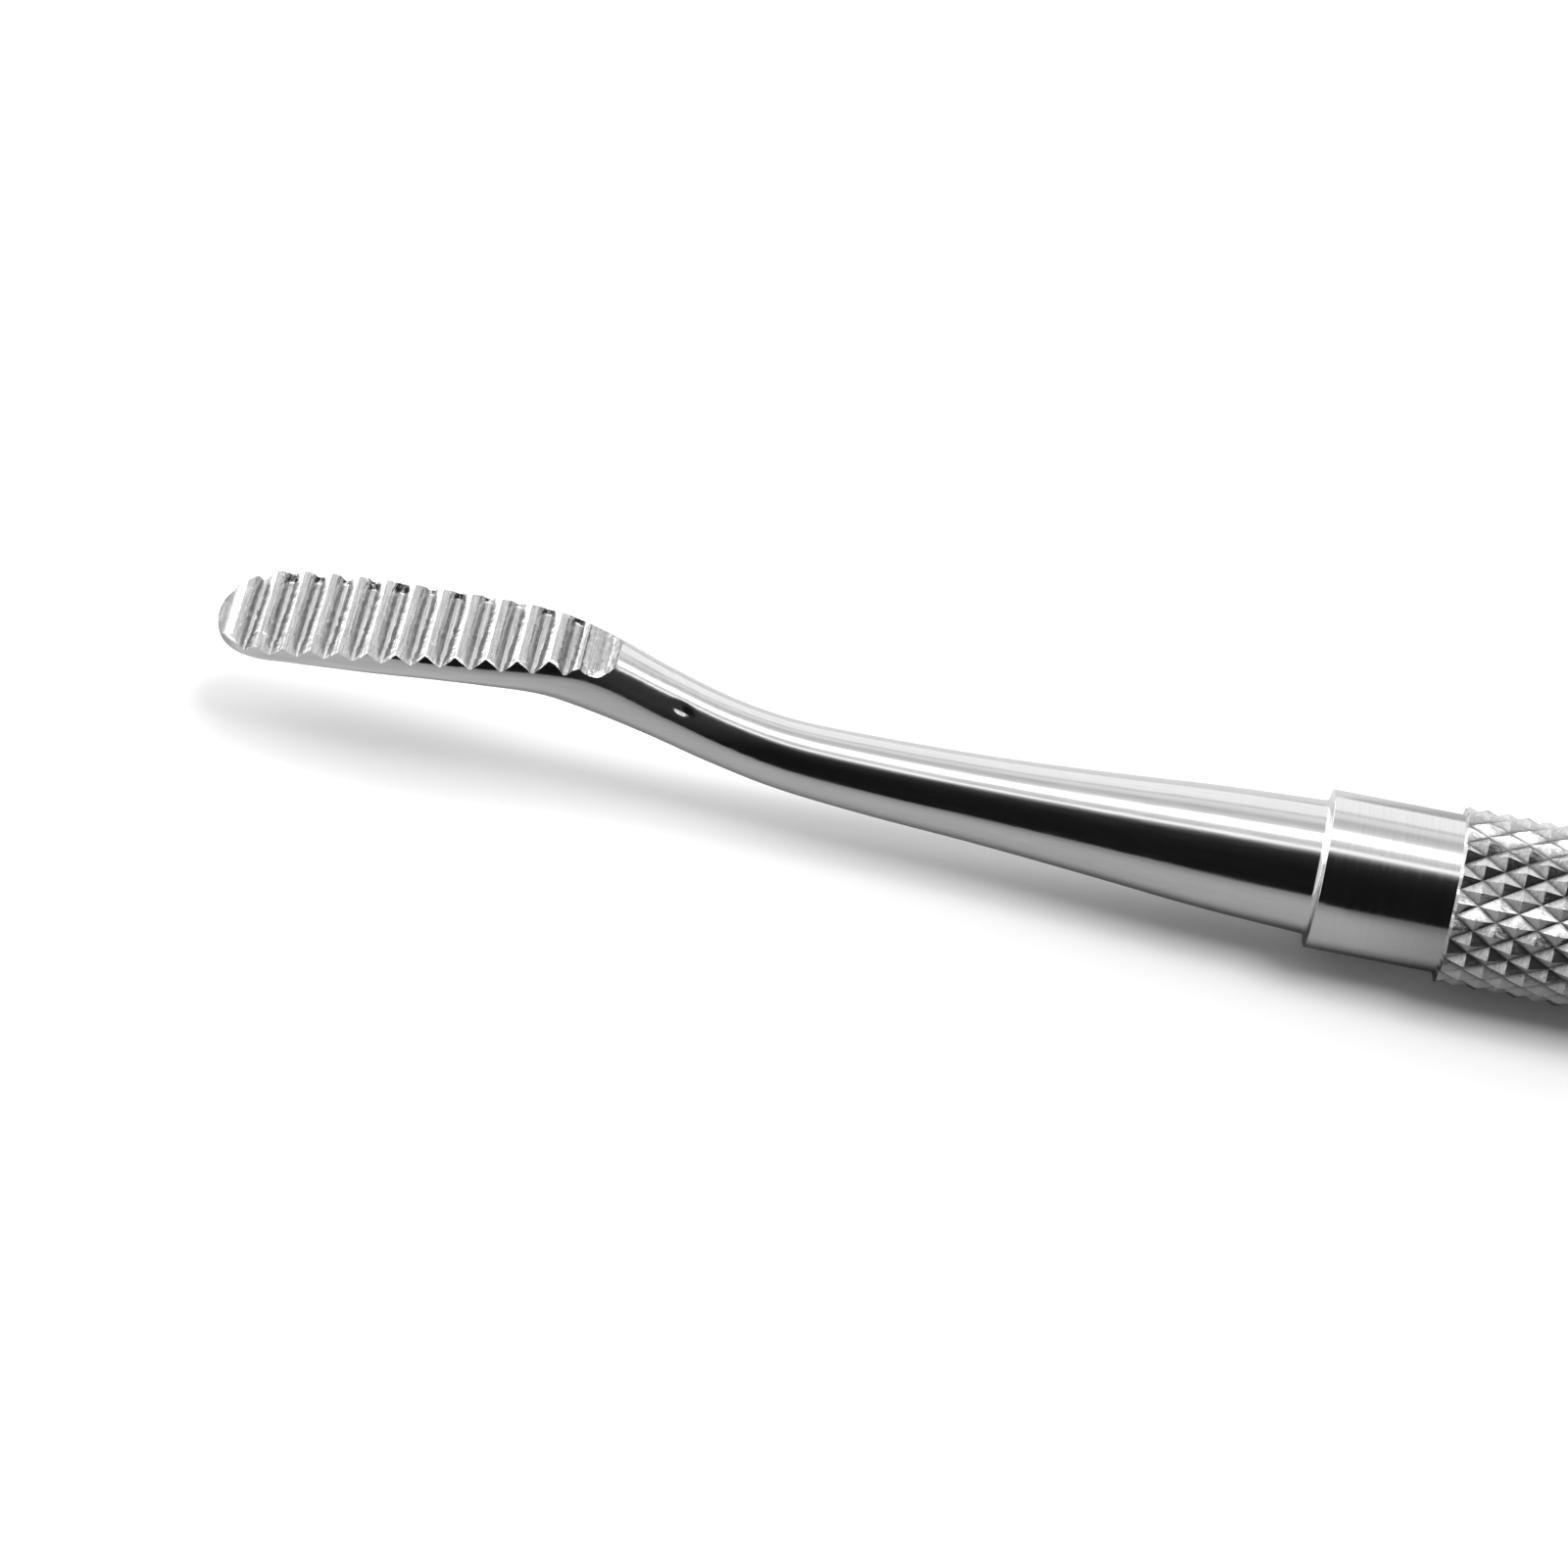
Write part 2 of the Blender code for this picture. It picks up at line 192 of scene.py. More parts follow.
# How fine the meshes are. The rings of a working end start at this share of a side, so the
# side walls face straight out.
SHANK_SIDES = 96
RING_OFFSET = 0.5
FILLET_STEPS = 10
SHANK_RING_SPACING = 0.22
BLADE_RING_SPACING = 0.10
BLADE_RINGS_START = CREST_START - 3
NOSE_RINGS = 40
NOSE_LAST_ANGLE = math.radians(88)
NOSE_LAND_STEPS = 6
NOSE_FLANK_STEPS = 10
GROOVE_STEPS = 26
RUN_OUT_STEPS = 24
CUTTER_COLUMNS = 120
KNURL_CELLS = 2 * KNURL_POINTS_ROUND
KNURL_ROWS = 2 * KNURL_POINTS_ALONG
KNURL_CELL_STEPS = (0.0, 0.12, 0.38, 0.62, 0.88)
COLLAR_EDGE_STEPS = 4
COLLAR_RING_SHARES = (0.25, 0.5, 0.75)
END_SHARP_ANGLE = math.radians(32)
GRIP_SHARP_ANGLE = math.radians(22)

SEED = 11


# Bar

def loft_section(distance):
    """Read the loft at a distance, by a smooth curve through its stations."""
    stations = LOFT_STATIONS
    last = len(stations) - 2
    index = 0
    while index < last and distance > stations[index + 1][0]:
        index += 1
    before = stations[max(index - 1, 0)]
    start = stations[index]
    end = stations[index + 1]
    after = stations[min(index + 2, len(stations) - 1)]
    span = end[0] - start[0]
    t = min(max((distance - start[0]) / span, 0.0), 1.0)
    values = []
    for column in range(1, len(start)):
        slope_start = (end[column] - before[column]) / (end[0] - before[0]) * span
        slope_end = (after[column] - start[column]) / (after[0] - start[0]) * span
        values.append(
            (2 * t ** 3 - 3 * t ** 2 + 1) * start[column]
            + (t ** 3 - 2 * t ** 2 + t) * slope_start
            + (3 * t ** 2 - 2 * t ** 3) * end[column]
            + (t ** 3 - t ** 2) * slope_end
        )
    return values


def loft_slope(distance):
    """How steeply the bar climbs at a distance, in radians."""
    rise = loft_section(distance + SLOPE_STEP)[0] - loft_section(distance - SLOPE_STEP)[0]
    return math.atan2(rise, 2 * SLOPE_STEP)


def section_ring(distance, width_scale=1.0, thickness_scale=1.0):
    """One section of the working end, square to the line that the bar follows."""
    height, half_width, rise, drop, top_square, base_square = loft_section(distance)
    slope = loft_slope(distance)
    ring = []
    for index in range(SHANK_SIDES):
        angle = 2 * math.pi * (index + RING_OFFSET) / SHANK_SIDES
        square = top_square if math.sin(angle) > 0 else base_square
        tall = rise if math.sin(angle) > 0 else drop
        side = math.copysign(abs(math.cos(angle)) ** (2 / square), math.cos(angle))
        lift = math.copysign(abs(math.sin(angle)) ** (2 / square), math.sin(angle))
        offset = tall * thickness_scale * lift
        ring.append((
            distance - offset * math.sin(slope),
            half_width * width_scale * side,
            height + offset * math.cos(slope),
        ))
    return ring


def round_ring(x, radius, count, offset=0.0):
    """A ring round the axis, turned by an offset that is a share of one side."""
    ring = []
    for index in range(count):
        angle = 2 * math.pi * (index + offset) / count
        ring.append((x, radius * math.cos(angle), radius * math.sin(angle)))
    return ring


def bar_rings():
    """Rings of the uncut bar: the fillet in the collar, the shank, the blade and its nose."""
    first_radius = LOFT_STATIONS[0][2]
    flare_radius = first_radius + SHOULDER_FILLET
    rings = [round_ring(-SHANK_ROOT_IN_COLLAR, flare_radius, SHANK_SIDES, RING_OFFSET)]
    for step in range(FILLET_STEPS):
        angle = math.pi / 2 * step / FILLET_STEPS
        x = SHOULDER_FILLET * (1 - math.cos(angle))
        radius = flare_radius - SHOULDER_FILLET * math.sin(angle)
        rings.append(round_ring(x, radius, SHANK_SIDES, RING_OFFSET))
    distance = SHOULDER_FILLET
    nose_start = WORKING_END_REACH - NOSE_LENGTH
    while distance < nose_start:
        rings.append(section_ring(distance))
        distance += SHANK_RING_SPACING if distance < BLADE_RINGS_START else BLADE_RING_SPACING
    for step in range(NOSE_RINGS + 1):
        angle = NOSE_LAST_ANGLE * step / NOSE_RINGS
        thickness = NOSE_RIM_THICKNESS + (1 - NOSE_RIM_THICKNESS) * math.cos(angle)
        width = (1 - math.sin(angle) ** NOSE_SQUARE) ** (1 / NOSE_SQUARE)
        distance = nose_start + (NOSE_LENGTH - NOSE_EDGE_LOSS) * math.sin(angle)
        rings.append(section_ring(distance, width, thickness))
    return rings


def tube_faces(rings, count):
    """The sides and both ends of a tube through the rings."""
    faces = []
    for row in range(len(rings) - 1):
        for index in range(count):
            following = (index + 1) % count
            faces.append((
                row * count + index,
                row * count + following,
                (row + 1) * count + following,
                (row + 1) * count + index,
            ))
    faces.append(tuple(reversed(range(count))))
    faces.append(tuple((len(rings) - 1) * count + index for index in range(count)))
    return faces


# Teeth

def crest_height(distance):
    past_start = distance - CREST_START
    fall = past_start * math.tan(CREST_START_SLOPE) + past_start ** 2 / (2 * CREST_BOW_RADIUS)
    return CREST_START_HEIGHT - fall


def crest_distance(index):
    steps = index * NOSE_PITCH + index * (index - 1) / 2 * PITCH_GROWTH
    return NOSE_CREST - steps


def wall(distance, height):
    """Half the width of the uncut bar at a height over the grip's axis."""
    middle, half_width, rise, _, top_square, _ = loft_section(distance)
    level = min(max((height - middle) / rise, 0.0), 1.0)
    return half_width * (1 - level ** top_square) ** (1 / top_square)


def ease(value, start, end):
    """Rise smoothly from 0 to 1 while the value goes from start to end."""
    t = min(max((value - start) / (end - start), 0.0), 1.0)
    return t * t * (3 - 2 * t)


def ripple(x, y, grain, shift=0):
    """Smooth noise from -1 to 1, drawn out along the cut."""
    across, along, place = grain
    return noise.noise(Vector((x / across, y / along, place + shift)))


def crest_place(index, y):
    """Where a crest runs, which is nearly straight across the blade."""
    return crest_distance(index) + CREST_WOBBLE * ripple(index, y, CREST_GRAIN)


def groove_share(step, bottom, near_side):
    """Depth of the groove, from 0 at a crest to 1 at the bottom, a step of 0 to 1 along it."""
    floor_start = GROOVE_FLOOR_START + NEAR_FLOOR_DELAY * near_side
    if step < bottom:
        run = min(step / bottom / floor_start, 1.0)
        straight, power = SHANK_FACING_FLANK
    else:
        run = min((1 - step) / (1 - bottom) / floor_start, 1.0)
        straight, power = TIP_FACING_FLANK
    rounded = straight * run + (1 - straight) * run ** power
    return rounded + (run - rounded) * near_side


def tooth_point(index, step, y):
    """A point of the cut surface between one crest and the following one."""
    near_side = NEAR_STRAIGHTENING * ease(y, *NEAR_SIDE)
    bottom = GROOVE_BOTTOM - GROOVE_BOTTOM_SKEW * max(-1.0, min(1.0, y / GROOVE_SKEW_REACH))
    bottom += BOTTOM_WOBBLE * ripple(index, y, BOTTOM_GRAIN)
    crest = crest_place(index, y)
    x = crest + (crest_place(index + 1, y) - crest) * step
    groove = groove_share(step, bottom, near_side)
    sink = GROOVE_DEPTH * (1 - NEAR_SHALLOWING * near_side) * groove + GROOVE_SPARE
    if index == TOOTH_CRESTS - 2:
        sink += LAST_CREST_DROP * step ** 3
    scored = SCORE_DEPTH + NEAR_SCORE_DEPTH * near_side
    sink += scored * (1 + ripple(x, y, SCORE_GRAIN)) * math.sqrt(math.sin(math.pi * step))
    tip_facing = ease(step - bottom, *CHATTER_FADE_IN) * (1 - ease(step, *CHATTER_FADE_OUT))
    sink += CHATTER_DEPTH * (1 + ripple(x, y, CHATTER_GRAIN, index)) * tip_facing
    sink += NEAR_GRIT_DEPTH * near_side * (1 + ripple(x, y, NEAR_GRIT_GRAIN))
    height = crest_height(x) - sink
    reach = wall(x, height)
    burr_reach = BURR_REACH + BURR_REACH_PER_HEIGHT * BURR_HEIGHTS[index]
    burr = BURR_HEIGHTS[index] * max(1 - (reach + y) / burr_reach, 0.0) ** BURR_POWER
    burr *= groove * (1 + BURR_UNEVENNESS * ripple(x, y, BURR_GRAIN))
    bevel = BEVEL_SLOPE * max(BEVEL_WIDTH - (reach - y), 0.0)
    bevel *= ease(index, *BEVEL_TEETH) * (1 - ease(step, *BEVEL_FADE_OUT))
    return x, y, height + burr - bevel


def nose_row(x, height, columns):
    row = []
    for y in columns:
        grit = NOSE_GRIT_DEPTH * (1 + ripple(x, y, NOSE_GRIT_GRAIN))
        row.append((x, y, height - grit))
    return row


def nose_rows(columns):
    """Rows over the land at the nose and up the flank of the first crest."""
    past_nose = WORKING_END_REACH + CUTTER_PAST_NOSE
    nose_foot = NOSE_CREST + NOSE_FLANK_LENGTH
    land = crest_height(nose_foot) - NOSE_LAND_DROP
    rows = []
    for number in range(NOSE_LAND_STEPS):
        x = past_nose + (nose_foot - past_nose) * number / NOSE_LAND_STEPS
        rows.append(nose_row(x, land - (x - nose_foot) * math.tan(NOSE_LAND_SLOPE), columns))
    for number in range(NOSE_FLANK_STEPS):
        share = number / NOSE_FLANK_STEPS
        x = nose_foot + (NOSE_CREST - nose_foot) * share
        drop = NOSE_LAND_DROP * (1 - share ** NOSE_FLANK_POWER)
        rows.append(nose_row(x, crest_height(x) - drop, columns))
    return rows


def run_out_rows(columns):
    """Rows of the run-out, from the last crest to the shank."""
    last_crest = crest_distance(TOOTH_CRESTS - 1)
    rows = []
    for number in range(RUN_OUT_STEPS + 1):
        step = number / RUN_OUT_STEPS
        x = last_crest - RUN_OUT_LENGTH * step
        level = crest_height(last_crest) - LAST_CREST_DROP + RUN_OUT_RISE * step
        row = []
        for y in columns:
            depth = RUN_OUT_DEPTH + RUN_OUT_NEAR_DEPTH * ease(y, *RUN_OUT_NEAR_SIDE)
            height = level - depth * math.sin(math.pi * step)
            height -= RUN_OUT_SCORE_DEPTH * (1 + ripple(x, y, RUN_OUT_SCORE_GRAIN))
            height -= RUN_OUT_GRIT_DEPTH * (1 + ripple(x, y, RUN_OUT_GRIT_GRAIN))
            row.append((x, y, height))
        rows.append(row)
    return rows


def tooth_rows():
    """Rows of the cutter's underside, from past the nose to the run-out on the shank."""
    columns = []
    for step in range(CUTTER_COLUMNS + 1):
        columns.append(CUTTER_HALF_WIDTH * (2 * step / CUTTER_COLUMNS - 1))
    rows = nose_rows(columns)
    for index in range(TOOTH_CRESTS - 1):
        for number in range(GROOVE_STEPS):
            rows.append([tooth_point(index, number / GROOVE_STEPS, y) for y in columns])
    return rows + run_out_rows(columns)


def cutter_mesh():
    """The closed block that cuts the teeth: the rows below, four sides and a flat top."""
    rows = tooth_rows()
    width = len(rows[0])
    points = [point for row in rows for point in row]
    faces = []
    for row in range(len(rows) - 1):
        for column in range(width - 1):
            corner = row * width + column
            faces.append((corner, corner + 1, corner + width + 1, corner + width))
    low_x = rows[-1][0][0]
    high_x = rows[0][0][0]
    top = len(points)
    for x in (high_x, low_x):
        for y in (-CUTTER_HALF_WIDTH, CUTTER_HALF_WIDTH):
            points.append((x, y, CUTTER_TOP))
    last = (len(rows) - 1) * width
    first_side = [row * width for row in range(len(rows))]
    second_side = [row * width + width - 1 for row in range(len(rows))]
    faces.append(tuple([top] + first_side + [top + 2]))
    faces.append(tuple([top + 3] + second_side[::-1] + [top + 1]))
    faces.append(tuple([top + 1] + list(range(width - 1, -1, -1)) + [top]))
    faces.append(tuple([top + 2] + list(range(last, last + width)) + [top + 3]))
    faces.append((top, top + 2, top + 3, top + 1))
    return points, faces


# Grip

def knurl_share(u, v, even):
    """Height of the knurl in one quarter of a diamond, 0 in the groove and 1 at the point."""
    across = abs(u - v) if even else abs(1 - u - v)
    if across < KNURL_GROOVE_WIDTH:
        return across ** 2 / (2 * KNURL_GROOVE_WIDTH)
    across -= KNURL_GROOVE_WIDTH / 2
    blunted = max(across - KNURL_BLUNT_START, 0.0)
    return min(across, KNURL_BLUNT_START) + KNURL_BLUNT_RISE * blunted


def knurl_heights():
    """How high each corner of the cells stands, as a share of the full height."""
    draws = random.Random(SEED)
    heights = {}
    for row in range(KNURL_ROWS + 1):
        for cell in range(KNURL_CELLS):
            heights[row, cell] = 1 - KNURL_UNEVENNESS * draws.random()
    return heights


def knurl_row(x, row, v, heights):
    """One ring of the knurl, at a share v of the way through a row of cells."""
    ring = []
    for cell in range(KNURL_CELLS):
        even = (cell + row) % 2 == 0
        for u in KNURL_CELL_STEPS:
            nearest = (row + round(v), (cell + round(u)) % KNURL_CELLS)
            share = knurl_share(u, v, even) * heights[nearest]
            radius = KNURL_DIAMETER / 2 - KNURL_DEPTH * (1 - share)
            angle = 2 * math.pi * (cell + u) / KNURL_CELLS
            ring.append((x, radius * math.cos(angle), radius * math.sin(angle)))
    return ring


def collar_rings(count):
    """Rings of one collar, from its rounded outer edge to the end of the knurl."""
    radius = COLLAR_DIAMETER / 2
    rings = []
    for step in range(COLLAR_EDGE_STEPS + 1):
        turn = math.pi / 2 * step / COLLAR_EDGE_STEPS
        loss = COLLAR_CHAMFER * (1 - math.sin(turn))
        inset = COLLAR_CHAMFER * (1 - math.cos(turn))
        rings.append(round_ring(-SHOULDER + inset, radius - loss, count))
    for share in COLLAR_RING_SHARES:
        rings.append(round_ring(-SHOULDER + COLLAR_LENGTH * share, radius, count))
    rings.append(round_ring(-KNURL_LENGTH / 2 - KNURL_END_BEVEL, radius, count))
    return rings


def grip_rings():
    """Rings of the grip from one shoulder to the other, and the row of cells each one starts."""
    heights = knurl_heights()
    collar = collar_rings(KNURL_CELLS * len(KNURL_CELL_STEPS))
    rings = list(collar)
    cell_rows = [None] * len(collar)
    for row in range(KNURL_ROWS):
        for v in KNURL_CELL_STEPS:
            x = -KNURL_LENGTH / 2 + KNURL_LENGTH * (row + v) / KNURL_ROWS
            rings.append(knurl_row(x, row, v, heights))
            cell_rows.append(row)
    rings.append(knurl_row(KNURL_LENGTH / 2, KNURL_ROWS - 1, 1.0, heights))
    cell_rows.append(None)
    for ring in reversed(collar):
        rings.append([(-x, y, z) for x, y, z in ring])
        cell_rows.append(None)
    return rings, cell_rows


def grip_faces(rings, cell_rows):
    """Faces of the grip; those of the knurl are split along the grooves."""
    count = len(rings[0])
    per_cell = len(KNURL_CELL_STEPS)
    faces = []
    for row in range(len(rings) - 1):
        low = row * count
        high = low + count
        for index in range(count):
            following = (index + 1) % count
            if cell_rows[row] is None:
                faces.append((low + index, high + index, high + following, low + following))
            elif (index // per_cell + cell_rows[row]) % 2 == 0:
                faces.append((low + index, high + following, low + following))
                faces.append((low + index, high + index, high + following))
            else:
                faces.append((low + index, high + index, low + following))
                faces.append((low + following, high + index, high + following))
    faces.append(tuple(range(count)))
    faces.append(tuple(reversed(range((len(rings) - 1) * count, len(rings) * count))))
    return faces


# Painted shade

# How much darker the steel's colour is painted, as a share of it: painted shade
TOOTH_PAINTED_SHADE = 0.40
LEVEL_PAINTED_SHADE_SHARE = 0.25
RUN_OUT_PAINTED_SHADE = 0.80
KNURL_PAINTED_SHADE = 0.60
# Where they begin and where they are full, or where they fade and end: by the steepness, by
# the depth below the crests, by the distance past the last crest and by the knurl's depth
PAINTED_SHADE_STEEPNESS = (0.45, 0.68)
PAINTED_SHADE_TOP = (0.16, 0.36)
PAINTED_SHADE_FOOT = (0.66, 0.76)
RUN_OUT_PAINTED_SHADE_START = (0.35, 0.80)
PAINTED_SHADE_RUN_OUT_END = (RUN_OUT_LENGTH - 0.04, RUN_OUT_LENGTH + 0.03)
KNURL_PAINTED_SHADE_DEPTHS = (0.70, 1.0)


def paint_shade_on_teeth(mesh):
    """Paint shade into the steel's colour on the low steep sides of the grooves and in the
    run-out.
    """
    painted_shade = mesh.attributes.new("painted_shade", "FLOAT", "POINT")
    last_crest = crest_distance(TOOTH_CRESTS - 1)
    for vertex in mesh.vertices:
        x, y, z = vertex.co / MM
        past_crest = last_crest - x
        sink = crest_height(x) - z
        low = ease(sink, *PAINTED_SHADE_TOP) * (1 - ease(sink, *PAINTED_SHADE_FOOT))
        low *= 1 - ease(past_crest, *PAINTED_SHADE_RUN_OUT_END)
        steep = ease(abs(vertex.normal.x), *PAINTED_SHADE_STEEPNESS)
        # Painted shade: the low steep flanks of the grooves get a darker colour
        shade = TOOTH_PAINTED_SHADE * (LEVEL_PAINTED_SHADE_SHARE + (1 - LEVEL_PAINTED_SHADE_SHARE) * steep)
        # Painted shade in the run-out scoop, in streaks along its scores
        streak = 0.5 + 0.5 * ripple(x, y, RUN_OUT_SCORE_GRAIN)
        shade += (RUN_OUT_PAINTED_SHADE * streak - shade) * ease(past_crest, *RUN_OUT_PAINTED_SHADE_START)
        painted_shade.data[vertex.index].value = shade * low


def paint_shade_in_knurl(mesh):
    """Paint shade into the steel's colour at the bottoms of the knurl's grooves."""
    painted_shade = mesh.attributes.new("painted_shade", "FLOAT", "POINT")
    for vertex in mesh.vertices:
        x, y, z = vertex.co / MM
        sink = (KNURL_DIAMETER / 2 - math.hypot(y, z)) / KNURL_DEPTH
        if abs(x) < KNURL_LENGTH / 2:
            # Painted shade: the deepest parts of the knurl's grooves get a darker colour
            painted_shade.data[vertex.index].value = KNURL_PAINTED_SHADE * ease(sink, *KNURL_PAINTED_SHADE_DEPTHS)


# Pieces

def new_object(name, points, faces, *materials):
    mesh = bpy.data.meshes.new(name)
    mesh.from_pydata([[value * MM for value in point] for point in points], [], faces)
    shape = bmesh.new()
    shape.from_mesh(mesh)
    bmesh.ops.recalc_face_normals(shape, faces=shape.faces)
    shape.to_mesh(mesh)
    shape.free()
    for material in materials:
        mesh.materials.append(material)
    item = bpy.data.objects.new(name, mesh)
    bpy.context.scene.collection.objects.link(item)
    return item


def smooth(mesh, sharp_angle):
    mesh.shade_smooth()
    mesh.set_sharp_from_angle(angle=sharp_angle)


def nick_shank(mesh):
    """Press the nick into the side of the shank, drawn out along it."""
    slope = loft_slope(NICK_PLACE[0])
    line = Vector((math.cos(slope), 0.0, math.sin(slope)))
    moved = []
    for vertex in mesh.vertices:
        offset = vertex.co / MM - Vector(NICK_PLACE)
        along = offset.dot(line)
        across = (offset - line * along).length
        share = 1 - (along / NICK_HALF_LENGTH) ** 2 - (across / NICK_HALF_WIDTH) ** 2
        moved.append(vertex.co - vertex.normal * NICK_DEPTH * MM * max(share, 0.0))
    for vertex, place in zip(mesh.vertices, moved):
        vertex.co = place
    mesh.update()


def working_end(shank_steel, tooth_steel):
    """The shank and blade of one end, with the teeth cut into the bar."""
    rings = bar_rings()
    points = [point for ring in rings for point in ring]
    bar = new_object("near_end", points, tube_faces(rings, SHANK_SIDES), shank_steel, tooth_steel)
    cutter_points, cutter_faces = cutter_mesh()
    cutter = new_object("tooth_cutter", cutter_points, cutter_faces, tooth_steel)
    cut = bar.modifiers.new("teeth", "BOOLEAN")
    cut.operation = "DIFFERENCE"
    cut.object = cutter
    cut.solver = "EXACT"
    cut.material_mode = "TRANSFER"
    graph = bpy.context.evaluated_depsgraph_get()
    finished = bpy.data.meshes.new_from_object(bar.evaluated_get(graph))
    bar.modifiers.clear()
    bar.data = finished
    bpy.data.objects.remove(cutter)
    smooth(finished, END_SHARP_ANGLE)
    paint_shade_on_teeth(finished)
    return bar


def build_grip(collar_steel, knurl_steel):
    """The grip: one closed mesh of knurl and collars, each with its own steel."""
    rings, cell_rows = grip_rings()
    points = [point for ring in rings for point in ring]
    grip = new_object("grip", points, grip_faces(rings, cell_rows), collar_steel, knurl_steel)
    for face in grip.data.polygons:
        if abs(face.center.x) < KNURL_LENGTH / 2 * MM:
            face.material_index = 1
    smooth(grip.data, GRIP_SHARP_ANGLE)
    paint_shade_in_knurl(grip.data)
    return grip


def rest_matrix():
    """Tilt and lift that lay the file on the floor, on the knurl and the far blade's teeth."""
    row = KNURL_LENGTH / KNURL_ROWS
    knurl_x = -KNURL_LENGTH / 2 + row
    knurl_z = -KNURL_DIAMETER / 2
    touching = crest_distance(TOOTH_CRESTS - 2) - CREST_LAND / 2
    blade_x = SHOULDER + touching
    blade_z = -crest_height(touching)
    tilt = math.atan2(blade_z - knurl_z, blade_x - knurl_x)
    lift = knurl_x * math.sin(tilt) - knurl_z * math.cos(tilt)
    return Matrix.Translation((0, 0, lift * MM)) @ Matrix.Rotation(tilt, 4, "Y")


# Shader nodes

def link(tree, source, output, target, socket):
    tree.links.new(source.outputs[output], target.inputs[socket])


def maths(tree, operation, *values):
    """A maths node; each value is a number or a (node, output) pair."""
    node = tree.nodes.new("ShaderNodeMath")
    node.operation = operation
    for socket, value in enumerate(values):
        if isinstance(value, tuple):
            link(tree, value[0], value[1], node, socket)
        else:
            node.inputs[socket].default_value = value
    return node, "Value"


def level_at(tree, place, stops):
    """The level at a place, by a ramp over stops of (place, level)."""
    first = stops[0][0]
    span = stops[-1][0] - first
    brightest = max(level for _, level in stops)
    ramp = tree.nodes.new("ShaderNodeValToRGB")
    elements = ramp.color_ramp.elements
    while len(elements) < len(stops):
        elements.new(1.0)
    for element, (stop, level) in zip(elements, stops):
        tone = level / brightest
        element.position = (stop - first) / span
        element.color = (tone, tone, tone, 1.0)
    share, output = maths(tree, "MULTIPLY_ADD", place, 1 / span, -first / span)
    link(tree, share, output, ramp, "Fac")
    return maths(tree, "MULTIPLY", (ramp, "Color"), brightest)


# Finishes

# The colour and the roughness with their spreads, the size of the lines along x, y and z and
# how deep they are, and the size and depth of the specks
FINISHES = {
    "polished_shank": {
        "colour": 0.72,
        "colour_spread": 0.03,
        "roughness": 0.11,
        "roughness_spread": 0.03,
        "line_size": (6.0, 0.12, 0.12),
        "line_depth": 0.0011,
        "speck_size": 0.30,
        "speck_depth": 0.0005,
    },
    "filed_teeth": {
        "colour": 0.70,
        "colour_spread": 0.14,
        "roughness": 0.17,
        "roughness_spread": 0.06,
        "line_size": (0.06, 1.2, 0.06),
        "line_depth": 0.010,
        "speck_size": 0.10,
        "speck_depth": 0.016,
    },
    "turned_collar": {
        "colour": 0.72,
        "colour_spread": 0.02,
        "roughness": 0.11,
        "roughness_spread": 0.03,
        "line_size": (0.10, 2.0, 2.0),
        "line_depth": 0.0005,
        "speck_size": 0.5,
        "speck_depth": 0.0003,
    },
    "knurled_grip": {
        # Its colour is lower than the other steel's, the same stainless: painted shade over the
        # knurl
        "colour": 0.64,
        "colour_spread": 0.06,
        "roughness": 0.20,
        "roughness_spread": 0.06,
        "line_size": (0.16, 0.16, 0.16),
        "line_depth": 0.010,
        "speck_size": 0.35,
        "speck_depth": 0.014,
    },
}
LINE_DETAIL = 3.0
SPECK_DETAIL = 2.0
# The part of the noise's range that is stretched over the whole spread
NOISE_RANGE = (0.3, 0.7)


def noise_field(tree, source, scale, detail):
    field = tree.nodes.new("ShaderNodeTexNoise")
    field.inputs["Scale"].default_value = scale
    field.inputs["Detail"].default_value = detail
    link(tree, *source, field, "Vector")
    return field


def spread_noise(tree, field, middle, spread):
    """Values round a middle, as the noise rises and falls."""
    values = tree.nodes.new("ShaderNodeMapRange")
    values.inputs["From Min"].default_value = NOISE_RANGE[0]
    values.inputs["From Max"].default_value = NOISE_RANGE[1]
    values.inputs["To Min"].default_value = middle - spread
    values.inputs["To Max"].default_value = middle + spread
    link(tree, field, "Fac", values, "Value")
    return values


def relief(tree, field, depth):
    bump = tree.nodes.new("ShaderNodeBump")
    bump.inputs["Strength"].default_value = 1.0
    bump.inputs["Distance"].default_value = depth * MM
    link(tree, field, "Fac", bump, "Height")
    return bump


